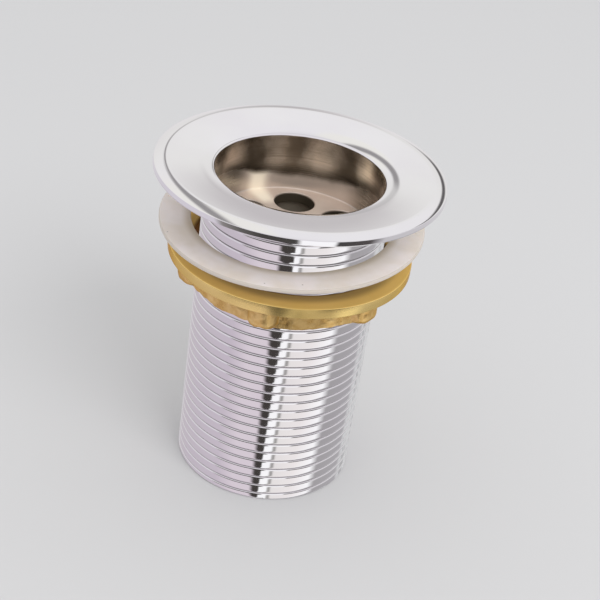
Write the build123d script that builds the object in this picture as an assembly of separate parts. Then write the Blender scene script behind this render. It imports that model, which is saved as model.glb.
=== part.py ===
from build123d import *
import math
import os

# Basin waste for a washbasin outlet. Sizes are in millimetres and +Z runs up the axis.
# The shank stands on its lower end at z = 0.

# Shank and its bore, from its lower end to the flange seat
thread_r = 20.0
shank_length = 72.75
shank_wall = 2.5
shank_end_chamfer = 0.5
bore_end_chamfer = 0.6

# Flange
flange_r = 31.25
flange_thickness = 1.75
rim_width = 2.65
rim_drop = 0.5
rim_slope_deg = 4.0
rim_edge_chamfer = 0.3
neck_chamfer = 1.0

# Cup above the pierced floor
cup_wall = 1.75
dish_drop = 0.65
dish_slope_deg = 4.5
lip_width = 3.55
mouth_drop = 1.6
mouth_edge_chamfer = 0.4
cup_depth = 13.4
cup_floor_chamfer = 0.6
floor_thickness = 2.5

# Ring of drain holes in the cup floor, each a web apart from the next
drain_count = 6
drain_inset = 6.25
drain_web = 2.9
drain_heading_deg = 92.4

# Back nut: a disc on a cast hub with grip lugs
nut_drop = 17.15
nut_running_gap = 0.08
nut_disc_r = 26.65
nut_disc_thickness = 2.5
nut_disc_chamfer = 0.3
nut_hub_wall = 1.9
nut_height = 8.4
nut_mouth_chamfer = 1.25
nut_root_chamfer = 0.6
lug_count = 6
lug_reach = 2.6
lug_width = 6.2
lug_foot_round = 1.7
lug_nose_chamfer = 0.8
lug_heading_deg = 260.7

# Seal washer, hung on the thread above the nut
washer_slack = 1.9
washer_width = 6.9
washer_thickness = 1.0
washer_seat_gap = 0.25
washer_rise = 5.15
washer_tilt_deg = 3.4
washer_tilt_heading_deg = 40.0
washer_shift_heading_deg = 106.0

# Heights and radii worked out from the sizes above
flange_seat_z = shank_length
flange_top_z = flange_seat_z + flange_thickness
mouth_z = flange_top_z - mouth_drop
floor_z = mouth_z - cup_depth
rim_crest_r = flange_r - rim_width
outlet_bore_r = thread_r - shank_wall
cup_r = thread_r - cup_wall
drain_ring_r = cup_r - drain_inset
drain_hole_r = drain_ring_r * math.sin(math.pi / drain_count) - drain_web / 2
nut_top_z = flange_seat_z - nut_drop
nut_bore_r = thread_r + nut_running_gap
nut_hub_r = nut_bore_r + nut_hub_wall
lug_r = nut_hub_r + lug_reach
washer_hole_r = thread_r + washer_slack
washer_r = washer_hole_r + washer_width


def corner(sketch, r, z):
    """The vertex of a profile that lies nearest to radius r and height z."""
    return sketch.vertices().sort_by_distance((r, z))[0]


def waste_profile():
    """Half section of the body, from the axis outwards, in the XZ plane."""
    crest = (rim_crest_r, flange_top_z)
    rim_edge = (flange_r, flange_top_z - rim_drop)
    lip_start = (cup_r + lip_width, flange_top_z - dish_drop)
    mouth = (cup_r, mouth_z)
    rim_slope = math.radians(rim_slope_deg)
    dish_slope = math.radians(dish_slope_deg)
    floor_under = floor_z - floor_thickness
    with BuildSketch(Plane.XZ) as profile:
        with BuildLine():
            dish = TangentArc(crest, lip_start, tangent=(-math.cos(dish_slope), -math.sin(dish_slope)))
            TangentArc(lip_start, mouth, tangent=dish % 1)
            Polyline(mouth, (cup_r, floor_z), (0, floor_z), (0, floor_under), (outlet_bore_r, floor_under))
            Polyline((outlet_bore_r, floor_under), (outlet_bore_r, 0), (thread_r, 0))
            Polyline((thread_r, 0), (thread_r, flange_seat_z), (flange_r, flange_seat_z), rim_edge)
            TangentArc(crest, rim_edge, tangent=(math.cos(rim_slope), -math.sin(rim_slope)))
        make_face()
        chamfer(corner(profile, cup_r, mouth_z), mouth_edge_chamfer)
        chamfer(corner(profile, cup_r, floor_z), cup_floor_chamfer)
        chamfer(corner(profile, thread_r, flange_seat_z), neck_chamfer)
        chamfer(corner(profile, flange_r, flange_seat_z), rim_edge_chamfer)
        chamfer(corner(profile, thread_r, 0), shank_end_chamfer)
        chamfer(corner(profile, outlet_bore_r, 0), bore_end_chamfer)
    return profile.sketch


def waste_body():
    """Flange, cup, pierced floor and shank, turned as one piece."""
    body = revolve(waste_profile(), axis=Axis.Z)
    drain = Cylinder(drain_hole_r, 2 * floor_thickness)
    for place in PolarLocations(drain_ring_r, drain_count, start_angle=drain_heading_deg):
        body -= Pos(0, 0, floor_z - floor_thickness / 2) * place * drain
    return body


def seal_washer():
    """Flat ring that hangs askew, with one side of its hole on the thread."""
    ring = Cylinder(washer_r, washer_thickness) - Cylinder(washer_hole_r, washer_thickness)
    tilt = math.radians(washer_tilt_deg)
    hole_reach = washer_hole_r * math.cos(tilt) - washer_thickness / 2 * math.sin(tilt)
    shift = hole_reach - thread_r - washer_seat_gap
    heading = math.radians(washer_shift_heading_deg)
    place = Pos(shift * math.cos(heading), shift * math.sin(heading), nut_top_z + washer_rise)
    return place * Rot(0, 0, washer_tilt_heading_deg) * Rot(0, -washer_tilt_deg, 0) * ring


def grip_lug():
    """One cast lug, standing out along +X from the hub under the disc."""
    root_r = nut_bore_r + nut_hub_wall / 2
    lug_height = nut_height - nut_disc_thickness
    lug = Pos(root_r, 0, 0) * Box(
        lug_r - root_r, lug_width, lug_height, align=(Align.MIN, Align.CENTER, Align.MIN)
    )
    foot = lug.faces().sort_by(Axis.Z)[0]
    lug = fillet(foot.edges().filter_by(Axis.X), lug_foot_round)
    nose = lug.faces().sort_by(Axis.X)[-1]
    top_edge = nose.edges().sort_by(Axis.Z)[-1]
    return chamfer(nose.edges() - ShapeList([top_edge]), lug_nose_chamfer)


def back_nut():
    """Disc, hub and lugs, cast as one piece, with the bore that runs on the shank."""
    bottom = nut_top_z - nut_height
    disc_under = nut_top_z - nut_disc_thickness
    with BuildSketch(Plane.XZ) as profile:
        with BuildLine():
            Polyline(
                (nut_bore_r, bottom),
                (nut_hub_r, bottom),
                (nut_hub_r, disc_under),
                (nut_disc_r, disc_under),
                (nut_disc_r, nut_top_z),
                (nut_bore_r, nut_top_z),
                close=True,
            )
        make_face()
        chamfer(corner(profile, nut_hub_r, disc_under), nut_root_chamfer)
        chamfer(corner(profile, nut_disc_r, disc_under), nut_disc_chamfer)
        chamfer(corner(profile, nut_disc_r, nut_top_z), nut_disc_chamfer)
        chamfer(corner(profile, nut_bore_r, nut_top_z), nut_mouth_chamfer)
    nut = revolve(profile.sketch, axis=Axis.Z)
    for place in PolarLocations(0, lug_count, start_angle=lug_heading_deg):
        nut += Pos(0, 0, bottom) * place * grip_lug()
    return nut


os.makedirs("parts", exist_ok=True)
export_step(waste_body(), "parts/waste_body.step")
export_step(seal_washer(), "parts/seal_washer.step")
export_step(back_nut(), "parts/back_nut.step")
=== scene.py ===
import math

import bmesh
import bpy
from mathutils import Matrix, Vector


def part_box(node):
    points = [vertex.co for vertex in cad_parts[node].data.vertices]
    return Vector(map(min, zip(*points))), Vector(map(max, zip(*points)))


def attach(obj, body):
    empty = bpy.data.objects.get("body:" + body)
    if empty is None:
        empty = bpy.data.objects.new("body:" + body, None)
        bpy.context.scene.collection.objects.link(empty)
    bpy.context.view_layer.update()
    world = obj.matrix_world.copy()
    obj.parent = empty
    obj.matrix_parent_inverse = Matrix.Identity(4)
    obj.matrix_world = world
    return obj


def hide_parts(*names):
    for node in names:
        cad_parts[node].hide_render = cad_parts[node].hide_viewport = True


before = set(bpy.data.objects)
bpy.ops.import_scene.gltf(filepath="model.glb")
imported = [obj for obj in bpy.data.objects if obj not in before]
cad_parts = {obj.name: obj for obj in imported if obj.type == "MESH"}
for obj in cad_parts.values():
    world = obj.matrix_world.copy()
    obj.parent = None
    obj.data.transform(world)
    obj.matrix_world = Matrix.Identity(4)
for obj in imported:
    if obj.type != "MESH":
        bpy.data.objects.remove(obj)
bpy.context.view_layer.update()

# Sizes are in millimetres and angles in degrees. Meshes and node inputs take metres and radians.
MM = 0.001
WELD = 1e-6
TAU = 2 * math.pi
ARC_STEPS = 5

_, body_high = (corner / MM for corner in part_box("waste_body"))
nut_low, nut_high = (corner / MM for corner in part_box("back_nut"))
washer_low, washer_high = (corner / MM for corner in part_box("seal_washer"))

# Waste body: each drop is measured down from the top of the flange
SIDES = 192
BODY_SHARP = 38.0
FLANGE_R = body_high.x
FLANGE_TOP = body_high.z
FLANGE_THICKNESS = 1.75
FLANGE_SEAT = FLANGE_TOP - FLANGE_THICKNESS
RIM_WIDTH = 2.65
RIM_CREST_R = FLANGE_R - RIM_WIDTH
RIM_DROP = 0.5
RIM_SLOPE = 4.0
RIM_TAPER = 0.15
RIM_TOP_ROUND = 0.12
RIM_FOOT_ROUND = 0.25
RIM_STEPS = 8
CREST_ROUND = 4.0
NECK_ROUND = 1.2
DISH_SLOPE = 4.5
DISH_DROP = 0.65
DISH_STEPS = 12
LIP_WIDTH = 3.55
LIP_STEPS = 8
MOUTH_DROP = 1.6
MOUTH_ROUND = 0.6
CUP_R = 18.25
CUP_FLOOR_DROP = 15.0
CUP_FLOOR = FLANGE_TOP - CUP_FLOOR_DROP
CUP_FLOOR_ROUND = 0.4
CUP_STEPS = 8
FLOOR_THICKNESS = 2.5
FLOOR_UNDER = CUP_FLOOR - FLOOR_THICKNESS
OUTLET_R = 17.5
OUTLET_CHAMFER = 0.6
DRAINS = 6
DRAIN_R = 4.55
DRAIN_RING_R = 12.0
DRAIN_HEADING = 92.4
DRAIN_EDGE = 0.3
DRAIN_EASE = 0.01
DRAIN_SIDES = 64

# Painted reflection, highlights and light on the cup's wall and floor
GLEAMS = 10
GLEAM_HEADING = 75.0
REFLECTION_LINE = 4.7
REFLECTION_DIP = 1.6
LIGHT_SHAFT_HEADING = 121.0

# Thread of the shank, a right-handed pipe thread
THREAD_R = 20.0
PITCH = 2.309
GROOVE_DEPTH = 0.34
GROOVE_HALF = 0.20
GROOVE_ROOT = 0.03
GROOVE_SHOULDER = 0.12
CREST_EDGE = 0.05
CREST_ROWS = 6
THREAD_TOP = 67.5
THREAD_FADE = 1.6
RUN_IN = 2

# Back nut
NUT_SIDES = 480
NUT_SHARP = 40.0
NUT_R = nut_high.x
NUT_TOP = nut_high.z
NUT_FOOT = nut_low.z
NUT_GAP = 0.08
NUT_BORE_R = THREAD_R + NUT_GAP
NUT_HUB_WALL = 1.9
NUT_HUB_R = NUT_BORE_R + NUT_HUB_WALL
NUT_DISC = 2.5
NUT_UNDER = NUT_TOP - NUT_DISC
NUT_EDGE = 0.3
NUT_MOUTH = 1.25
NUT_ROOT = 0.7
NUT_STEPS = 6
LUGS = 6
LUG_REACH = 2.6
LUG_HALF_WIDTH = 3.6
LUG_FULLNESS = 2.3
LUG_FOOT_ROUND = 2.1
LUG_HEADING = 260.7
HUB_FOOT_ROUND = 0.5
HUB_ROWS = 12
SOLE_ROWS = 4

# Rough skin of the nut: the grain's depth, the foot's wander, the grains to a millimetre, and the
# level of the foot's grain above which it wanders
CAST_GRAIN = 0.22
CAST_WANDER = 2.0
COARSE_GRAIN = 0.35
FINE_GRAIN = 1.1
FOOT_GRAIN = 0.3
FOOT_BITE = 0.42

# Painted shade on the front of the nut's edge and hub
FRONT_SHADE_HEADING = -80.0

# Seal washer, hung askew on the thread
WASHER_SHARP = 40.0
WASHER_R = 28.8
WASHER_HOLE_R = 21.9
WASHER_THICKNESS = 1.0
WASHER_ROUND = 0.3
WASHER_TILT = 3.4
WASHER_TILT_HEADING = 40.0
washer_centre = (washer_low + washer_high) / 2

# Soft edges of the finishes and of the painted light and shade: where each starts and ends, counted on from
# the surface that it follows
ROOT_EDGE = (-0.4 * GROOVE_DEPTH, -0.1 * GROOVE_DEPTH)
ROOT_TOP = (-1.0, 0.0)
END_FACE = (0.8, 1.4)
# Rise of the painted shade in the thread roots above the nut
ROOT_SHADE_RISE = (1.0, 3.0)
CUP_WALL = (-0.5, -0.1)
# Edges of the painted dark reflection on the cup's wall and of the painted dark line under it
REFLECTION_EDGE = (-1.2, 0.8)
REFLECTION_DARK_LINE = (0.8, 3.6)
# Reach of the painted shaft of light on the cup's floor
LIGHT_SHAFT_REACH = (-2.0, 2.0)
# Top of the painted shade in the drains and bore
DRAIN_SHADE_EDGE = (-0.6, -0.1)
CAST_EDGE = (-0.25, 0.1)
NUT_FACE = (-0.25, -0.05)
# Painted shade on the nut's top face round its bore
WASHER_SHADE_RING = (2.4, 5.0)
BORE_SHADE_RING = (1.0, 2.0)
# Darker olive-tan ring round the washer's hole
WASHER_HOLE_TINT = (0.1, 2.4)

# Soft edges of the painted stripes of light and shade, in radians to each side of their headings
LIGHT_SHAFT_STRIPE = (0.03, 0.2)
FRONT_SHADE_STRIPE = (0.19, 0.34)

# How deep light goes into the washer's plastic: red, green and blue
MILK_DEPTH = (1.2, 1.0, 0.8)

# Camera, fitted to the photo's 600 x 600 frame
CAMERA_PLACE = (0.0, -269.92, 207.14)
CAMERA_YAW = 0.80
CAMERA_PITCH = 31.53
CAMERA_ROLL = 8.38
CAMERA_LENS = 85.29
SENSOR_WIDTH = 36.0
CLIP_START = 10.0

# Floor and lamp
FLOOR_R = 4000.0
FLOOR_SIDES = 96
LAMP_PLACE = (550.0, -720.0, 950.0)
LAMP_SIZE = 700.0
LAMP_WATTS = 6.0


def srgb(red, green, blue):
    """A colour as it looks on the screen, made linear for a shader."""
    return tuple(c / 12.92 if c <= 0.04045 else ((c + 0.055) / 1.055) ** 2.4 for c in (red, green, blue))


def onward(base, offsets):
    """The places that lie these offsets on from a base."""
    return [base + offset for offset in offsets]


# Node trees

class Wire:
    """An output socket that can be written into sums with numbers and other wires."""

    def __init__(self, bench, socket):
        self.bench = bench
        self.socket = socket

    def maths(self, operation, *others):
        return self.bench.maths(operation, self, *others)

    def __add__(self, other):
        return self.maths("ADD", other)

    def __radd__(self, other):
        return self.bench.maths("ADD", other, self)

    def __sub__(self, other):
        return self.maths("SUBTRACT", other)

    def __rsub__(self, other):
        return self.bench.maths("SUBTRACT", other, self)

    def __mul__(self, other):
        return self.maths("MULTIPLY", other)

    def __rmul__(self, other):
        return self.bench.maths("MULTIPLY", other, self)

    def __truediv__(self, other):
        return self.maths("DIVIDE", other)

    def __rtruediv__(self, other):
        return self.bench.maths("DIVIDE", other, self)

    def __neg__(self):
        return self.maths("MULTIPLY", -1.0)

    def __abs__(self):
        return self.maths("ABSOLUTE")


class Bench:
    """Builds one node tree."""

    def __init__(self, tree):
        self.tree = tree

    def plug(self, socket, value):
        """Gives a socket a link or a value."""
        if isinstance(value, Wire):
            self.tree.links.new(value.socket, socket)
        elif socket.type == "RGBA" and len(value) == 3:
            socket.default_value = (*value, 1.0)
        else:
            socket.default_value = value

    def node(self, kind, settings=None, sockets=None, out=0):
        """A new node: its settings first, then its sockets. Gives one of its outputs."""
        made = self.tree.nodes.new(kind)
        for name, value in (settings or {}).items():
            if name == "stops":
                self.set_stops(made.color_ramp, value)
            else:
                setattr(made, name, value)
        for key, value in (sockets or {}).items():
            self.plug(made.inputs[key], value)
        return Wire(self, made.outputs[out]) if len(made.outputs) else None

    def set_stops(self, ramp, stops):
        while len(ramp.elements) < len(stops):
            ramp.elements.new(1.0)
        for element, (place, colour) in zip(ramp.elements, stops):
            element.position = place
            element.color = (*colour, 1.0)

    def more(self, wire, out):
        """Another output of the node that a wire comes from."""
        return Wire(self, wire.socket.node.outputs[out])

    def maths(self, operation, *values):
        return self.node("ShaderNodeMath", {"operation": operation}, dict(enumerate(values)))

    def vector(self, x, y, z):
        return self.node("ShaderNodeCombineXYZ", None, {0: x, 1: y, 2: z})

    def split(self, vector):
        x = self.node("ShaderNodeSeparateXYZ", None, {0: vector})
        return x, self.more(x, 1), self.more(x, 2)

    def step(self, value, start, end):
        """0 before start and 1 after end, with a smooth rise between them."""
        sockets = {"Value": value, "From Min": start, "From Max": end, "To Min": 0.0, "To Max": 1.0}
        return self.node("ShaderNodeMapRange", {"interpolation_type": "SMOOTHSTEP"}, sockets)

    def fall(self, value, start, end):
        """1 before start and 0 after end, with a smooth fall between them."""
        return 1 - self.step(value, start, end)

    def mix(self, factor, first, second, blend="MIX"):
        """One colour turning into another, or taking its tint."""
        settings = {"data_type": "RGBA", "blend_type": blend}
        return self.node("ShaderNodeMix", settings, {0: factor, 6: first, 7: second}, 2)

    def noise(self, vector, scale, detail=2.0, roughness=0.5):
        sockets = {"Vector": vector, "Scale": scale, "Detail": detail, "Roughness": roughness}
        return self.node("ShaderNodeTexNoise", None, sockets)

    def ramp(self, value, stops):
        """Colours at their places along a value."""
        return self.node("ShaderNodeValToRGB", {"stops": stops}, {0: value})


def heading(x, y):
    """The direction of a spot from the axis, in radians."""
    return y.maths("ARCTAN2", x)


def distance(x, y):
    """The distance of a spot from the axis."""
    return (x * x + y * y).maths("SQRT")


# Finishes

def finish_bench(name):
    """A new material, with the bench for its nodes and its main shader."""
    material = bpy.data.materials.new(name)
    material.use_nodes = True
    material.node_tree.nodes.clear()
    bench = Bench(material.node_tree)
    surface = bench.node("ShaderNodeBsdfPrincipled")
    bench.node("ShaderNodeOutputMaterial", None, {"Surface": surface})
    return material, bench, surface.socket.node


def place(bench):
    """Object coordinates in millimetres."""
    raw = bench.node("ShaderNodeTexCoord", None, None, "Object")
    return bench.node("ShaderNodeVectorMath", {"operation": "SCALE"}, {0: raw, "Scale": 1 / MM})


def bump(bench, shader, height, depth):
    sockets = {"Strength": 1.0, "Distance": depth * MM, "Height": height}
    bench.plug(shader.inputs["Normal"], bench.node("ShaderNodeBump", None, sockets))


def chrome_plate():
    """Polished plate with faint buffing marks and rough thread roots, with painted shade in the roots,
    darkest above the nut.
    """
    material, bench, shader = finish_bench("chrome_plate")
    spot = place(bench)
    x, y, z = bench.split(spot)
    radius = distance(x, y)
    turn = heading(x, y)
    cloud = bench.noise(spot, 0.09)
    buffing = bench.noise(bench.vector(radius * 2.2, z * 2.2, turn * 1.6), 1.0, 3.0)
    groove = bench.fall(radius, *onward(THREAD_R, ROOT_EDGE))
    threaded = bench.fall(z, *onward(THREAD_TOP, ROOT_TOP))
    outside = bench.step(radius, *onward(OUTLET_R, END_FACE))
    root = groove * threaded * outside
    above_nut = bench.step(z, *onward(NUT_TOP, ROOT_SHADE_RISE))
    plate = bench.mix(cloud, srgb(0.92, 0.91, 0.93), srgb(0.95, 0.95, 0.955))
    # Painted shade in the thread roots: grey below the nut, darker above it
    painted_root_shade = bench.mix(above_nut, srgb(0.63, 0.60, 0.62), srgb(0.40, 0.37, 0.36))
    bench.plug(shader.inputs["Base Color"], bench.mix(root * 0.5, plate, painted_root_shade))
    shader.inputs["Metallic"].default_value = 1.0
    bench.plug(shader.inputs["Roughness"], 0.04 + buffing * 0.03 + root * 0.4)
    bump(bench, shader, buffing, 0.002)
    return material


def dull_nickel():
    """Plate inside the cup: brownish, with a painted dark reflection on the wall above a wavy line, a
    painted shaft of light, and painted shade in the drains.
    """
    material, bench, shader = finish_bench("dull_nickel")
    x, y, z = bench.split(place(bench))
    radius = distance(x, y)
    turn = heading(x, y)
    smears = bench.noise(bench.vector(turn * 4.0, z * 0.2, radius * 0.2), 1.0, 3.0)
    tool_lines = bench.noise(bench.vector(turn * 0.8, z * 6.0, radius * 5.0), 1.0, 2.0)

    # Painted reflection: the wall darkened above a wavy line, with painted upright gleams in it and a
    # painted dark line along its lower edge
    wall = bench.step(radius, *onward(CUP_R, CUP_WALL))
    sway = (turn * 2).maths("COSINE")
    rise = z - CUP_FLOOR - sway * REFLECTION_DIP - smears * 1.2
    painted_reflection = bench.step(rise, *onward(REFLECTION_LINE, REFLECTION_EDGE))
    painted_reflection = wall * painted_reflection.maths("MAXIMUM", bench.step(sway, -0.4, 0.3) * 0.8)
    waves = ((turn - math.radians(GLEAM_HEADING)) * GLEAMS).maths("COSINE")
    gleams = bench.step(smears * 0.7 + waves * 0.2, 0.12, 0.66)
    painted_dark_line = bench.fall(rise, *onward(REFLECTION_LINE, REFLECTION_DARK_LINE))
    lines = painted_dark_line * 0.7 + bench.step(tool_lines, 0.5, 0.75) * 0.3
    dark = bench.mix(gleams, srgb(0.55, 0.515, 0.465), srgb(1.0, 0.965, 0.91))
    dark = bench.mix(lines, dark, srgb(0.34, 0.315, 0.275))

    # The plate's own colour, with a painted shaft of light across the floor and up the wall
    light_shaft = bench.fall(abs(turn - math.radians(LIGHT_SHAFT_HEADING)), *LIGHT_SHAFT_STRIPE)
    light_shaft = light_shaft * bench.step(radius, *onward(DRAIN_RING_R, LIGHT_SHAFT_REACH))
    bright = bench.mix(smears, srgb(0.85, 0.785, 0.73), srgb(0.93, 0.875, 0.83))
    bright = bench.mix(light_shaft, bright, srgb(1.0, 0.95, 0.87))

    # Painted shade on the walls of the drains, and a paler painted shade in the bore under them
    below = bench.fall(z, *onward(CUP_FLOOR, DRAIN_SHADE_EDGE))
    deep = bench.fall(z, *onward(FLOOR_UNDER, DRAIN_SHADE_EDGE))
    painted_drain_shade = bench.mix(deep, srgb(0.38, 0.345, 0.29), srgb(0.70, 0.66, 0.60))

    plate = bench.mix(painted_reflection, bright, dark)
    bench.plug(shader.inputs["Base Color"], bench.mix(below, plate, painted_drain_shade))
    bench.plug(shader.inputs["Metallic"], 0.6 + painted_reflection * 0.4 - light_shaft * (1 - painted_reflection) * 0.6)
    bench.plug(shader.inputs["Roughness"], 0.35 - painted_reflection * 0.13 + tool_lines * 0.06)
    bump(bench, shader, tool_lines, 0.003)
    return material


def cast_brass():
    """Brass: a turned satin face and edge above, granular casting below, with painted shade round the bore
    and on the front.
    """
    material, bench, shader = finish_bench("cast_brass")
    spot = place(bench)
    x, y, z = bench.split(spot)
    radius = distance(x, y)
    turn = heading(x, y)
    cast = bench.fall(z, *onward(NUT_UNDER, CAST_EDGE))
    top = bench.step(z, *onward(NUT_TOP, NUT_FACE))
    tone = bench.noise(spot, 0.16, 3.0)
    grain = bench.noise(spot, 0.5, 3.0, 0.55)
    rings = bench.noise(bench.vector(radius * 6.0, z * 6.0, tone), 1.0, 2.0)
    edge = bench.mix(tone, srgb(0.89, 0.77, 0.48), srgb(0.95, 0.85, 0.58))
    face = bench.mix(tone, srgb(0.85, 0.70, 0.38), srgb(0.90, 0.76, 0.46))
    skin = bench.mix(bench.step(grain, 0.3, 0.7), srgb(0.82, 0.67, 0.41), srgb(0.93, 0.80, 0.55))
    # Painted shade: olive round the bore under the washer, and dark brown at the bore's mouth
    washer_shade = bench.fall(radius, *onward(NUT_BORE_R, WASHER_SHADE_RING))
    bore_shade = bench.fall(radius, *onward(NUT_BORE_R, BORE_SHADE_RING))
    # Painted shade on the front of the edge and hub
    front_shade = bench.fall(abs(turn - math.radians(FRONT_SHADE_HEADING)), *FRONT_SHADE_STRIPE) * (1 - top)
    turned = bench.mix(top, edge, face)
    turned = bench.mix(washer_shade, turned, srgb(0.66, 0.55, 0.34))
    turned = bench.mix(bore_shade, turned, srgb(0.32, 0.23, 0.12))
    brass = bench.mix(front_shade, bench.mix(cast, turned, skin), srgb(0.81, 0.80, 0.79), "MULTIPLY")
    bench.plug(shader.inputs["Base Color"], brass)
    bench.plug(shader.inputs["Metallic"], 0.8 - top * 0.2)
    shader.inputs["Specular IOR Level"].default_value = 0.2
    shader.inputs["Specular Tint"].default_value = (*srgb(0.85, 0.70, 0.45), 1.0)
    rough_turned = 0.16 + rings * 0.1 + top * 0.25
    rough_cast = 0.2 + grain * 0.2
    bench.plug(shader.inputs["Roughness"], rough_turned * (1 - cast) + rough_cast * cast)
    bump(bench, shader, rings * 0.06 * (1 - cast) + grain * cast, 0.2)
    return material


def white_plastic():
    """Milky plastic with faint clouds, a rim darkened with painted shade, a darker olive-tan ring round its
    hole and a few dark specks.
    """
    material, bench, shader = finish_bench("white_plastic")
    spot = place(bench)
    x, y, _ = bench.split(spot)
    reach = distance(x - washer_centre.x, y - washer_centre.y)
    clouds = bench.noise(spot, 0.12, 3.0)
    fine = bench.noise(spot, 1.4, 3.0)
    cells = bench.node("ShaderNodeTexVoronoi", None, {"Vector": spot, "Scale": 0.22, "Randomness": 1.0})
    specks = bench.fall(cells, 0.02, 0.05)
    # Painted shade: the washer's rim darkened
    edge = bench.step(reach, WASHER_R - WASHER_ROUND, WASHER_R - WASHER_ROUND / 2)
    # Darker olive-tan towards the hole
    hole_tint = bench.fall(reach, *onward(WASHER_HOLE_R, WASHER_HOLE_TINT))
    milk = bench.mix(bench.step(clouds, 0.3, 0.7), srgb(0.885, 0.845, 0.795), srgb(0.93, 0.90, 0.885))
    milk = bench.mix(edge, milk, srgb(0.80, 0.765, 0.73))
    milk = bench.mix(hole_tint * 0.7, milk, srgb(0.68, 0.62, 0.51))
    milk = bench.mix(specks * 0.6, milk, srgb(0.45, 0.42, 0.38))
    bench.plug(shader.inputs["Base Color"], milk)
    bench.plug(shader.inputs["Roughness"], 0.38 + fine * 0.14)
    shader.inputs["Specular IOR Level"].default_value = 0.25
    shader.inputs["Subsurface Weight"].default_value = 0.3
    shader.inputs["Subsurface Radius"].default_value = [depth * MM for depth in MILK_DEPTH]
    bump(bench, shader, fine, 0.02)
    return material


# Outlines and turned meshes

def tangent_arc(start, course, end, steps):
    """The arc that leaves start along a course and ends at end.

    Gives its points after start, and the course at its end.
    """
    chord = end - start
    course = course.normalized()
    turn = 2 * math.atan2(course.x * chord.y - course.y * chord.x, course.dot(chord))
    side = Vector((-course.y, course.x))
    centre = start + side * chord.length_squared / (2 * chord.dot(side))
    points = [centre + Matrix.Rotation(turn * i / steps, 2) @ (start - centre) for i in range(1, steps + 1)]
    return points, Matrix.Rotation(turn, 2) @ course


def rounded(corners, steps=ARC_STEPS):
    """An open outline from (radius, height, round) corners, with an arc at each corner that has a round."""
    points = []
    for i, (r, z, size) in enumerate(corners):
        here = Vector((r, z))
        if not size:
            points.append(here)
            continue
        before = (Vector(corners[i - 1][:2]) - here).normalized()
        after = (Vector(corners[(i + 1) % len(corners)][:2]) - here).normalized()
        reach = size / math.tan(before.angle(after) / 2)
        start = here + before * reach
        points.append(start)
        points += tangent_arc(start, -before, here + after * reach, steps)[0]
    return points


def between(start, end, rows):
    """Points spaced evenly from start to end, without those two."""
    return [start.lerp(end, i / rows) for i in range(1, rows)]


def turned_mesh(name, outline, sides, material, closed=False):
    """A mesh turned from an outline of (radius, height) points about the axis."""
    built = bmesh.new()
    angles = [TAU * i / sides for i in range(sides)]
    rows = []
    for r, z in outline:
        rows.append([built.verts.new((r * math.cos(a) * MM, r * math.sin(a) * MM, z * MM)) for a in angles])
    pairs = list(zip(rows, rows[1:]))
    if closed:
        pairs.append((rows[-1], rows[0]))
    for lower, upper in pairs:
        for i in range(sides):
            j = (i + 1) % sides
            built.faces.new((lower[i], lower[j], upper[j], upper[i]))
    mesh = bpy.data.meshes.new(name)
    built.to_mesh(mesh)
    built.free()
    mesh.materials.append(material)
    return mesh


def line_mesh(name, points, shares=None):
    """Loose points (radius, 0, height) that a node tree reads one by one, with named values on them."""
    mesh = bpy.data.meshes.new(name)
    mesh.from_pydata([(r * MM, 0.0, z * MM) for r, z in points], [], [])
    for share, values in (shares or {}).items():
        mesh.attributes.new(share, "FLOAT", "POINT").data.foreach_set("value", values)
    return mesh


def weld(name, meshes, sharp_angle):
    """One object from meshes that meet edge to edge, with closed seams and outward faces."""
    materials = []
    built = bmesh.new()
    for mesh in meshes:
        first = len(built.faces)
        built.from_mesh(mesh)
        built.faces.ensure_lookup_table()
        for material in mesh.materials:
            if material not in materials:
                materials.append(material)
        for face in built.faces[first:]:
            face.material_index = materials.index(mesh.materials[face.material_index])
    bmesh.ops.remove_doubles(built, verts=built.verts, dist=WELD)
    bmesh.ops.dissolve_degenerate(built, edges=built.edges, dist=WELD)
    bmesh.ops.recalc_face_normals(built, faces=built.faces)
    whole = bpy.data.meshes.new(name)
    built.to_mesh(whole)
    built.free()
    for material in materials:
        whole.materials.append(material)
    whole.shade_smooth()
    whole.set_sharp_from_angle(angle=math.radians(sharp_angle))
    piece = bpy.data.objects.new(name, whole)
    bpy.context.collection.objects.link(piece)
    return piece


# Geometry Nodes

SOCKET_KINDS = {"geometry": "NodeSocketGeometry", "float": "NodeSocketFloat", "int": "NodeSocketInt"}


def shape_tree(name, inputs):
    """A new geometry tree with these named inputs, its bench, and a wire for each input."""
    tree = bpy.data.node_groups.new(name, "GeometryNodeTree")
    for label, kind in {"Geometry": "geometry", **inputs}.items():
        tree.interface.new_socket(label, in_out="INPUT", socket_type=SOCKET_KINDS[kind])
    tree.interface.new_socket("Material", in_out="INPUT", socket_type="NodeSocketMaterial")
    tree.interface.new_socket("Geometry", in_out="OUTPUT", socket_type="NodeSocketGeometry")
    bench = Bench(tree)
    first = bench.node("NodeGroupInput")
    wires = {socket.name: Wire(bench, socket) for socket in first.socket.node.outputs if socket.name}
    return tree, bench, wires


def end_tree(bench, geometry, material):
    """The end of every tree: instances made real, doubles merged and the finish set."""
    real = bench.node("GeometryNodeRealizeInstances", None, {0: geometry})
    merged = bench.node("GeometryNodeMergeByDistance", None, {"Geometry": real, "Distance": WELD})
    dressed = bench.node("GeometryNodeSetMaterial", None, {"Geometry": merged, "Material": material})
    bench.node("NodeGroupOutput", None, {0: dressed})


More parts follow.
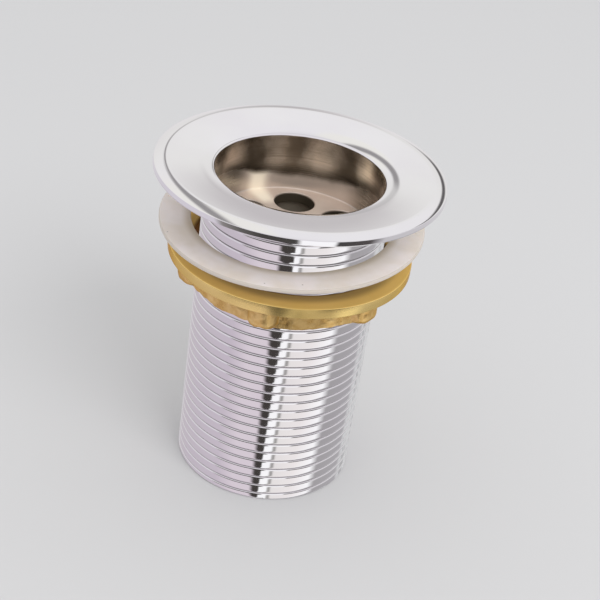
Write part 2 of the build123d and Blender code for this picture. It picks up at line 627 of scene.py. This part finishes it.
def grown_mesh(name, tree, host, values):
    """The plain mesh that a tree makes from a host mesh and the values of its named inputs."""
    carrier = bpy.data.objects.new(name, host)
    bpy.context.collection.objects.link(carrier)
    modifier = carrier.modifiers.new(name, "NODES")
    modifier.node_group = tree
    for item in tree.interface.items_tree:
        if item.in_out == "INPUT" and item.name in values:
            modifier[item.identifier] = values[item.name]
    graph = bpy.context.evaluated_depsgraph_get()
    mesh = bpy.data.meshes.new_from_object(carrier.evaluated_get(graph))
    carrier.modifiers.remove(modifier)
    bpy.data.objects.remove(carrier)
    return mesh


def joined(bench, first, *others):
    """Several geometries as one."""
    whole = bench.node("GeometryNodeJoinGeometry", None, {0: first})
    for other in others:
        bench.plug(whole.socket.node.inputs[0], other)
    return whole


def sampled(bench, profile, value, index, kind):
    """A value read from one of a profile's points."""
    settings = {"data_type": kind, "domain": "POINT"}
    sockets = {"Geometry": profile, "Value": value, "Index": index}
    return bench.node("GeometryNodeSampleIndex", settings, sockets)


def point_share(bench, profile, name, index):
    """A named value read from one of a profile's points."""
    value = bench.node("GeometryNodeInputNamedAttribute", {"data_type": "FLOAT"}, {"Name": name})
    return sampled(bench, profile, value, index, "FLOAT")


def swept_rows(bench, profile, sides, sections):
    """A grid whose rows read a profile's points, section after section, and whose columns go once round.

    Gives the grid, the share of a turn, the section's number, the point's index, and the point's
    radius and height.
    """
    count = bench.node("GeometryNodeAttributeDomainSize", {"component": "MESH"}, {0: profile})
    rows = count * sections
    sockets = {"Size X": 1.0, "Size Y": 1.0, "Vertices X": sides + 1, "Vertices Y": rows}
    grid = bench.node("GeometryNodeMeshGrid", None, sockets)
    position = bench.node("GeometryNodeInputPosition")
    x, y, _ = bench.split(position)
    row = ((y + 0.5) * (rows - 1)).maths("ROUND")
    section = ((row + 0.5) / count).maths("FLOOR")
    index = row - section * count
    radius, _, height = bench.split(sampled(bench, profile, position, index, "FLOAT_VECTOR"))
    return grid, x + 0.5, section, index, radius, height


def round_axis(bench, turn, radius, height):
    """The spot at a share of a turn, a radius and a height."""
    angle = turn * TAU
    return bench.vector(radius * angle.maths("COSINE"), radius * angle.maths("SINE"), height)


def set_round(bench, grid, turn, radius, height):
    """The grid bent round the axis."""
    spot = round_axis(bench, turn, radius, height)
    return bench.node("GeometryNodeSetPosition", None, {"Geometry": grid, "Position": spot})


def thread_tree():
    """A thread: one pitch of its profile, swept up a helix between two flat ends."""
    inputs = {
        "Crest Radius": "float",
        "Pitch": "float",
        "Turns": "int",
        "Sides": "int",
        "Base": "float",
        "Top": "float",
        "Foot Radius": "float",
        "Fade": "float",
    }
    tree, bench, given = shape_tree("shank_thread", inputs)
    swept = swept_rows(bench, given["Geometry"], given["Sides"], given["Turns"])
    grid, turn, section, _, depth, rise = swept
    climb = given["Base"] + rise + given["Pitch"] * (section + turn)
    height = climb.maths("MAXIMUM", 0.0).maths("MINIMUM", given["Top"])
    fade = bench.step(given["Top"] - height, 0.0, given["Fade"])
    radius = given["Crest Radius"] + depth * fade
    radius = radius.maths("MINIMUM", given["Foot Radius"] + height)
    end_tree(bench, set_round(bench, grid, turn, radius, height), given["Material"])
    return tree


def drain_tree():
    """The cup's floor: one drain wall set round a ring, and flat faces above and below between the walls."""
    inputs = {
        "Drains": "int",
        "Ring Radius": "float",
        "Heading": "float",
        "Sides": "int",
        "Drain Sides": "int",
        "Top Radius": "float",
        "Top Drain Radius": "float",
        "Top": "float",
        "Under Radius": "float",
        "Under Drain Radius": "float",
        "Under": "float",
    }
    tree, bench, given = shape_tree("drain_ring", inputs)
    points = {"Vertices": given["Drains"], "Radius": given["Ring Radius"]}
    ring = bench.node("GeometryNodeMeshCircle", None, points)
    turned = bench.vector(0.0, 0.0, given["Heading"])
    ring = bench.node("GeometryNodeTransform", None, {"Geometry": ring, "Rotation": turned})

    def on_ring(shape):
        return bench.node("GeometryNodeInstanceOnPoints", None, {"Points": ring, "Instance": shape})

    def circle(sides, radius):
        sockets = {"Resolution": sides, "Radius": radius}
        return bench.node("GeometryNodeCurvePrimitiveCircle", None, sockets)

    def face(outer_radius, drain_radius, height):
        rim = circle(given["Sides"], outer_radius)
        hole = circle(given["Drain Sides"], drain_radius)
        holes = bench.node("GeometryNodeRealizeInstances", None, {0: on_ring(hole)})
        filled = bench.node("GeometryNodeFillCurve", None, {"Curve": joined(bench, rim, holes)})
        lift = bench.vector(0.0, 0.0, height)
        return bench.node("GeometryNodeTransform", None, {"Geometry": filled, "Translation": lift})

    walls = on_ring(given["Geometry"])
    top = face(given["Top Radius"], given["Top Drain Radius"], given["Top"])
    under = face(given["Under Radius"], given["Under Drain Radius"], given["Under"])
    end_tree(bench, joined(bench, walls, top, under), given["Material"])
    return tree


def casting_tree():
    """The nut: its section swept round the axis, pushed out at the lugs and roughened where it is cast."""
    inputs = {
        "Sides": "int",
        "Lugs": "int",
        "Lug Heading": "float",
        "Lug Reach": "float",
        "Lug Half Width": "float",
        "Lug Fullness": "float",
        "Hub Radius": "float",
        "Foot": "float",
        "Foot Round": "float",
        "Grain": "float",
        "Wander": "float",
    }
    tree, bench, given = shape_tree("nut_casting", inputs)
    grid, turn, _, index, radius, height = swept_rows(bench, given["Geometry"], given["Sides"], 1)
    lug_share = point_share(bench, given["Geometry"], "lug_share", index)
    cast_share = point_share(bench, given["Geometry"], "cast_share", index)

    # The lugs, rounded across and drawn in towards the foot
    lap = ((turn - given["Lug Heading"]) * given["Lugs"] + 0.5).maths("FRACT") - 0.5
    offside = abs(lap) / given["Lugs"] * TAU * (given["Hub Radius"] + given["Lug Reach"])
    low = (1 - (height - given["Foot"]) / given["Foot Round"]).maths("MAXIMUM", 0.0).maths("MINIMUM", 1.0)
    pull = given["Foot Round"] * (1 - (1 - low * low).maths("SQRT"))
    aside = (offside / (given["Lug Half Width"] - pull)).maths("MINIMUM", 1.0)
    lug = (1 - aside.maths("POWER", given["Lug Fullness"])).maths("POWER", 1 / given["Lug Fullness"])
    bulged = radius + lug * lug_share * (given["Lug Reach"] - pull)

    # The rough skin, and the foot that wanders up where the casting fell short
    spot = round_axis(bench, turn, bulged, height)
    coarse = bench.noise(spot, COARSE_GRAIN / MM, 2.0)
    fine = bench.noise(spot, FINE_GRAIN / MM, 2.0)
    grain = (coarse * 1.4 + fine * 0.6 - 1.0) * cast_share * given["Grain"]
    ragged = (bench.noise(spot, FOOT_GRAIN / MM, 2.0) - FOOT_BITE).maths("MAXIMUM", 0.0)
    wander = ragged * low * cast_share * given["Wander"]
    rough = set_round(bench, grid, turn, bulged + grain, height + wander)
    end_tree(bench, rough, given["Material"])
    return tree


# Pieces

def thread_mesh(material):
    """The shank's thread, with the groove's middle at the start of the profile."""
    shoulder = GROOVE_ROOT + (GROOVE_HALF - GROOVE_ROOT) * (1 - GROOVE_SHOULDER)
    crest_start = GROOVE_HALF + CREST_EDGE
    crest_end = PITCH - GROOVE_HALF - CREST_EDGE
    groove = [
        (-GROOVE_DEPTH, GROOVE_ROOT),
        (-GROOVE_DEPTH * GROOVE_SHOULDER, shoulder),
        (0.0, crest_start),
    ]
    crest = [(0.0, crest_start + (crest_end - crest_start) * i / CREST_ROWS) for i in range(1, CREST_ROWS)]
    profile = groove + crest + [(depth, PITCH - rise) for depth, rise in reversed(groove)]
    values = {
        "Crest Radius": THREAD_R * MM,
        "Pitch": PITCH * MM,
        "Turns": math.ceil(THREAD_TOP / PITCH) + RUN_IN,
        "Sides": SIDES,
        "Base": -RUN_IN * PITCH * MM,
        "Top": THREAD_TOP * MM,
        "Foot Radius": (THREAD_R - GROOVE_DEPTH) * MM,
        "Fade": THREAD_FADE * MM,
        "Material": material,
    }
    return grown_mesh("thread", thread_tree(), line_mesh("thread_profile", profile), values)


def drain_mesh(material):
    """The pierced floor of the cup."""
    wall = rounded([
        (DRAIN_R + DRAIN_EDGE, CUP_FLOOR, 0),
        (DRAIN_R + DRAIN_EASE, CUP_FLOOR - DRAIN_EASE, DRAIN_EDGE - 2 * DRAIN_EASE),
        (DRAIN_R, FLOOR_UNDER, 0),
    ])
    host = turned_mesh("drain_wall", wall, DRAIN_SIDES, material)
    values = {
        "Drains": DRAINS,
        "Ring Radius": DRAIN_RING_R * MM,
        "Heading": math.radians(DRAIN_HEADING),
        "Sides": SIDES,
        "Drain Sides": DRAIN_SIDES,
        "Top Radius": (CUP_R - CUP_FLOOR_ROUND) * MM,
        "Top Drain Radius": (DRAIN_R + DRAIN_EDGE) * MM,
        "Top": CUP_FLOOR * MM,
        "Under Radius": OUTLET_R * MM,
        "Under Drain Radius": DRAIN_R * MM,
        "Under": FLOOR_UNDER * MM,
        "Material": material,
    }
    return grown_mesh("drains", drain_tree(), host, values)


def flange_outline():
    """The flange: from the neck, round the rim, over the crest and down the dish into the cup's mouth."""
    crest = Vector((RIM_CREST_R, FLANGE_TOP))
    rim_edge = Vector((FLANGE_R - RIM_TAPER, FLANGE_TOP - RIM_DROP))
    lip_start = Vector((CUP_R + LIP_WIDTH, FLANGE_TOP - DISH_DROP))
    mouth = Vector((CUP_R, FLANGE_TOP - MOUTH_DROP))
    outward = Matrix.Rotation(math.radians(-RIM_SLOPE), 2) @ Vector((1, 0))
    inward = Matrix.Rotation(math.radians(DISH_SLOPE), 2) @ Vector((-1, 0))
    rim = tangent_arc(crest, outward, rim_edge, RIM_STEPS)[0]
    dish, dish_course = tangent_arc(crest, inward, lip_start, DISH_STEPS)
    lip = tangent_arc(lip_start, dish_course, mouth, LIP_STEPS)[0]
    return rounded([
        (THREAD_R, THREAD_TOP, 0),
        (THREAD_R, FLANGE_SEAT, NECK_ROUND),
        (FLANGE_R, FLANGE_SEAT, RIM_FOOT_ROUND),
        (*rim_edge, RIM_TOP_ROUND),
        *[(*spot, 0) for spot in rim[-2::-1]],
        (*crest, CREST_ROUND),
        *[(*spot, 0) for spot in dish + lip[:-1]],
        (*mouth, MOUTH_ROUND),
        (CUP_R, CUP_FLOOR, 0),
    ])[:-1]


def waste_piece(chrome, nickel):
    """The body: flange, cup, pierced floor, bore and threaded shank in one closed skin."""
    flange = flange_outline()
    cup = rounded([
        (*flange[-1], 0),
        (CUP_R, CUP_FLOOR, CUP_FLOOR_ROUND),
        (CUP_R - CUP_FLOOR_ROUND, CUP_FLOOR, 0),
    ], CUP_STEPS)[:-1]
    bore = [
        (OUTLET_R, FLOOR_UNDER),
        (OUTLET_R, OUTLET_CHAMFER),
    ]
    end = [
        (OUTLET_R, OUTLET_CHAMFER),
        (OUTLET_R + OUTLET_CHAMFER, 0.0),
        (THREAD_R - GROOVE_DEPTH, 0.0),
    ]
    meshes = [
        turned_mesh("flange", flange, SIDES, chrome),
        turned_mesh("cup", cup, SIDES, nickel),
        drain_mesh(nickel),
        turned_mesh("bore", bore, SIDES, nickel),
        turned_mesh("end", end, SIDES, chrome),
        thread_mesh(chrome),
    ]
    return weld("waste_body_turned", meshes, BODY_SHARP)


def nut_piece(brass):
    """The back nut, cast in one with its lugs."""
    bottom, *arcs, _ = rounded([
        (NUT_BORE_R, NUT_FOOT, 0),
        (NUT_HUB_R, NUT_FOOT, HUB_FOOT_ROUND),
        (NUT_HUB_R, NUT_UNDER, NUT_ROOT),
        (NUT_R, NUT_UNDER, NUT_EDGE),
        (NUT_R, NUT_TOP, NUT_EDGE),
        (NUT_BORE_R, NUT_TOP, 0),
    ], NUT_STEPS)
    arc_points = NUT_STEPS + 1
    foot = arcs[:arc_points]
    root = arcs[arc_points:2 * arc_points]
    disc = arcs[2 * arc_points:]
    sole = between(bottom, foot[0], SOLE_ROWS)
    hub = foot + between(foot[-1], root[0], HUB_ROWS) + root
    mouth = [Vector((NUT_BORE_R + NUT_MOUTH, NUT_TOP)), Vector((NUT_BORE_R, NUT_TOP - NUT_MOUTH))]
    section = [bottom] + sole + hub + disc + mouth + [bottom]
    lug_share = [i / SOLE_ROWS for i in range(SOLE_ROWS)] + [1.0] * len(hub)
    cast_share = [0.0] + [1.0] * (len(sole) + len(hub) - 1)
    for share in (lug_share, cast_share):
        share.extend([0.0] * (len(section) - len(share)))
    host = line_mesh("nut_section", section, {"lug_share": lug_share, "cast_share": cast_share})
    values = {
        "Sides": NUT_SIDES,
        "Lugs": LUGS,
        "Lug Heading": LUG_HEADING / 360,
        "Lug Reach": LUG_REACH * MM,
        "Lug Half Width": LUG_HALF_WIDTH * MM,
        "Lug Fullness": LUG_FULLNESS,
        "Hub Radius": NUT_HUB_R * MM,
        "Foot": NUT_FOOT * MM,
        "Foot Round": LUG_FOOT_ROUND * MM,
        "Grain": CAST_GRAIN * MM,
        "Wander": CAST_WANDER * MM,
        "Material": brass,
    }
    return weld("back_nut_cast", [grown_mesh("nut", casting_tree(), host, values)], NUT_SHARP)


def washer_piece(plastic):
    """The seal washer: a flat ring with soft edges, hung askew."""
    half = WASHER_THICKNESS / 2
    corners = [(WASHER_HOLE_R, -half), (WASHER_R, -half), (WASHER_R, half), (WASHER_HOLE_R, half)]
    outline = rounded([(r, z, WASHER_ROUND) for r, z in corners])
    ring = turned_mesh("washer_ring", outline, SIDES, plastic, closed=True)
    swing = Matrix.Rotation(math.radians(WASHER_TILT_HEADING), 4, "Z")
    tilt = Matrix.Rotation(math.radians(-WASHER_TILT), 4, "Y")
    ring.transform(Matrix.Translation(washer_centre * MM) @ swing @ tilt)
    return weld("seal_washer_ring", [ring], WASHER_SHARP)


# Stage

def floor_and_lamp():
    """A plain pale floor and one large soft lamp over the right shoulder of the camera."""
    material, _, shader = finish_bench("pale_floor")
    shader.inputs["Base Color"].default_value = (*srgb(0.79, 0.79, 0.795), 1.0)
    shader.inputs["Roughness"].default_value = 0.9
    shader.inputs["Specular IOR Level"].default_value = 0.1
    mesh = bpy.data.meshes.new("floor")
    built = bmesh.new()
    bmesh.ops.create_circle(built, cap_ends=True, segments=FLOOR_SIDES, radius=FLOOR_R * MM)
    built.to_mesh(mesh)
    built.free()
    mesh.materials.append(material)
    floor = bpy.data.objects.new("floor", mesh)
    floor.visible_glossy = False
    bpy.context.collection.objects.link(floor)
    lamp = bpy.data.lights.new("soft_lamp", "AREA")
    lamp.size = LAMP_SIZE * MM
    lamp.energy = LAMP_WATTS
    holder = bpy.data.objects.new("soft_lamp", lamp)
    holder.location = [length * MM for length in LAMP_PLACE]
    holder.rotation_euler = (-Vector(holder.location)).to_track_quat("-Z", "Y").to_euler()
    holder.visible_glossy = False
    bpy.context.collection.objects.link(holder)


# The studio that polished metal shows: (azimuth, colour) round its lower half and at the flange's height
WHITE = (1.08, 1.08, 1.08)
LOW_STUDIO = [
    (-180, srgb(0.80, 0.765, 0.80)),
    (-150, srgb(0.81, 0.77, 0.81)),
    (-125, srgb(0.89, 0.85, 0.877)),
    (-95, srgb(0.89, 0.85, 0.877)),
    (-90, WHITE),
    (-77.5, WHITE),
    (-75.5, srgb(0.66, 0.65, 0.64)),
    (-73, srgb(0.66, 0.65, 0.64)),
    (-71, srgb(0.95, 0.935, 0.925)),
    (-45, srgb(0.98, 0.96, 0.95)),
    (-19, WHITE),
    (-9, srgb(0.67, 0.66, 0.665)),
    (35, srgb(0.70, 0.69, 0.70)),
    (42, srgb(0.85, 0.855, 0.855)),
    (90, srgb(0.84, 0.845, 0.845)),
    (120, srgb(0.785, 0.755, 0.781)),
    (180, srgb(0.80, 0.765, 0.80)),
]
HIGH_STUDIO = [
    (-180, srgb(0.86, 0.84, 0.87)),
    (-150, srgb(0.86, 0.84, 0.87)),
    (-143, srgb(0.56, 0.545, 0.535)),
    (-128, srgb(0.40, 0.39, 0.38)),
    (-112, srgb(0.29, 0.28, 0.27)),
    (-86, srgb(0.29, 0.28, 0.27)),
    (-82, WHITE),
    (-58, WHITE),
    (-55, srgb(0.29, 0.28, 0.28)),
    (-30, srgb(0.33, 0.31, 0.31)),
    (-18, srgb(0.80, 0.79, 0.80)),
    (60, srgb(0.85, 0.84, 0.85)),
    (180, srgb(0.86, 0.84, 0.87)),
]

# The studio's back panel: (rise of the sight line, colour) from the horizon up
BACK_STUDIO = [
    (0.0, srgb(0.92, 0.91, 0.91)),
    (0.25, srgb(0.925, 0.92, 0.91)),
    (0.40, srgb(0.94, 0.937, 0.925)),
    (0.56, srgb(0.96, 0.955, 0.955)),
    (0.85, srgb(0.96, 0.955, 0.96)),
    (1.0, srgb(0.93, 0.925, 0.93)),
]

# Azimuths of the soft edges of the dark column and the mottled stretch, and how far the column narrows
COLUMN_LEFT = (-105.0, -98.5)
COLUMN_LEFT_SHIFT = 3.5
COLUMN_RIGHT = (-84.0, -82.0)
COLUMN_RIGHT_SHIFT = 4.5
MOTTLE_LEFT = (40.0, 48.0)
MOTTLE_RIGHT = (95.0, 110.0)

# Rises of the sight line, from -1 straight down to 1 straight up, between which the studio changes
COLUMN_NARROWS = (-0.62, -0.48)
LOW_TO_HIGH = (-0.4617, -0.4226)
HIGH_TO_SIDES = (-0.15, 0.05)
SIDES_TO_ROOF = (0.62, 0.98)
BACK_PANEL_FOOT = (-0.3, -0.1)
DUSK_FOOT = (-0.15, 0.1)
DUSK_HEAD = (0.29, 0.43)
WARM_FOOT = (0.5, 0.62)
STEEP_BAR_FOOT = (0.34, 0.46)
LEANING_BAR_FOOT = (0.1, 0.25)

# Reaches of the sight line to the back or side at the soft edges of the back panel and its patches
BACK_PANEL_START = (0.2, 0.5)
WARM_SIDE = (0.02, 0.08)
DUSK_SIDE = (0.0, 0.13)

# Dark bars on the back panel: their shift to the side, their lean and their half width
STEEP_BAR = (-0.03, -0.27, 0.05)
LEANING_BAR = (0.096, 0.58, 0.04)

PLAIN_LIGHT = (0.98, 0.98, 0.98)


def studio_ring(bench, around, stops):
    """The studio's colours at their azimuths."""
    return bench.ramp(around, [((degrees + 180) / 360, colour) for degrees, colour in stops])


def low_studio(bench, around, z):
    """The studio's lower half, with a dark column that narrows downwards and a mottled stretch."""
    degrees = around * 360 - 180
    narrow = bench.fall(z, *COLUMN_NARROWS)
    left = bench.step(degrees - narrow * COLUMN_LEFT_SHIFT, *COLUMN_LEFT)
    right = bench.step(degrees + narrow * COLUMN_RIGHT_SHIFT, *COLUMN_RIGHT)
    specks = bench.noise(bench.vector(around * 70, z * 40, 0.0), 1.0, 1.0)
    mottle = bench.step(degrees, *MOTTLE_LEFT) * bench.fall(degrees, *MOTTLE_RIGHT)
    low = studio_ring(bench, around, LOW_STUDIO)
    low = bench.mix(left * (1 - right), low, srgb(0.27, 0.255, 0.245))
    return bench.mix(mottle * bench.step(specks, 0.48, 0.6) * 0.6, low, srgb(0.58, 0.57, 0.58))


def high_studio(bench, around, z):
    """The studio at the flange's height, its pale sides above that and its roof."""
    high = studio_ring(bench, around, HIGH_STUDIO)
    high = bench.mix(bench.step(z, *HIGH_TO_SIDES), high, srgb(0.94, 0.93, 0.94))
    return bench.mix(bench.step(z, *SIDES_TO_ROOF), high, srgb(0.90, 0.89, 0.90))


def back_studio(bench, x, y, z, behind):
    """The studio's back panel, with a warm patch, a dusky patch and two dark bars."""

    def bar(sideways, upward, half_width):
        off = abs(x - y * sideways - z * upward)
        return bench.fall(off, half_width * 0.4, half_width * 1.5) * behind

    warm = bench.step(-x, *WARM_SIDE) * bench.step(z, *WARM_FOOT)
    dusk = bench.step(z, *DUSK_FOOT) * bench.fall(z, *DUSK_HEAD) * bench.fall(abs(x), *DUSK_SIDE)
    steep_bar = bar(*STEEP_BAR) * (0.4 + bench.step(z, *STEEP_BAR_FOOT) * 0.6)
    leaning_bar = bar(*LEANING_BAR) * bench.step(z, *LEANING_BAR_FOOT)
    back = bench.ramp(z, BACK_STUDIO)
    back = bench.mix(warm * 0.7, back, srgb(0.97, 0.965, 0.93))
    back = bench.mix(dusk, back, srgb(0.80, 0.785, 0.785))
    back = bench.mix(steep_bar, back, srgb(0.62, 0.61, 0.61))
    return bench.mix(leaning_bar, back, srgb(0.40, 0.39, 0.39))


def studio_world():
    """White light for everything, and a white studio with dark flags for what polished metal shows."""
    world = bpy.data.worlds.new("studio")
    bpy.context.scene.world = world
    world.use_nodes = True
    world.cycles.sampling_method = "NONE"
    world.node_tree.nodes.clear()
    bench = Bench(world.node_tree)
    x, y, z = bench.split(bench.node("ShaderNodeTexCoord", None, None, "Generated"))
    around = heading(x, y) / TAU + 0.5
    behind = bench.step(y, *BACK_PANEL_START)
    low = low_studio(bench, around, z)
    high = high_studio(bench, around, z)
    back = back_studio(bench, x, y, z, behind)
    studio = bench.mix(bench.step(z, *LOW_TO_HIGH), low, high)
    studio = bench.mix(behind * bench.step(z, *BACK_PANEL_FOOT), studio, back)
    path = bench.node("ShaderNodeLightPath", None, None, "Is Glossy Ray")
    seen = bench.more(path, "Is Camera Ray")
    plain = bench.mix(seen, PLAIN_LIGHT, srgb(0.93, 0.93, 0.935))
    shine = bench.more(path, "Is Transmission Ray").maths("MAXIMUM", path)
    backdrop = bench.node("ShaderNodeBackground", None, {"Color": bench.mix(shine, plain, studio)})
    bench.node("ShaderNodeOutputWorld", None, {"Surface": backdrop})


def photo_camera():
    """The camera of the photo, rolled as it was held."""
    lens = bpy.data.cameras.new("photo_camera")
    lens.lens = CAMERA_LENS
    lens.sensor_width = SENSOR_WIDTH
    lens.clip_start = CLIP_START * MM
    camera = bpy.data.objects.new("photo_camera", lens)
    yaw = Matrix.Rotation(math.radians(-CAMERA_YAW), 4, "Z")
    pitch = Matrix.Rotation(math.radians(90 - CAMERA_PITCH), 4, "X")
    roll = Matrix.Rotation(math.radians(CAMERA_ROLL), 4, "Z")
    camera.matrix_world = Matrix.Translation(Vector(CAMERA_PLACE) * MM) @ yaw @ pitch @ roll
    bpy.context.collection.objects.link(camera)
    bpy.context.scene.camera = camera


waste = waste_piece(chrome_plate(), dull_nickel())
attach(waste, "waste")
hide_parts("waste_body")

washer = washer_piece(white_plastic())
washer.visible_glossy = False
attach(washer, "washer")
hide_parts("seal_washer")

nut = nut_piece(cast_brass())
nut.visible_glossy = False
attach(nut, "nut")
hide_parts("back_nut")

floor_and_lamp()
studio_world()
photo_camera()
bpy.context.scene.view_settings.view_transform = "Standard"
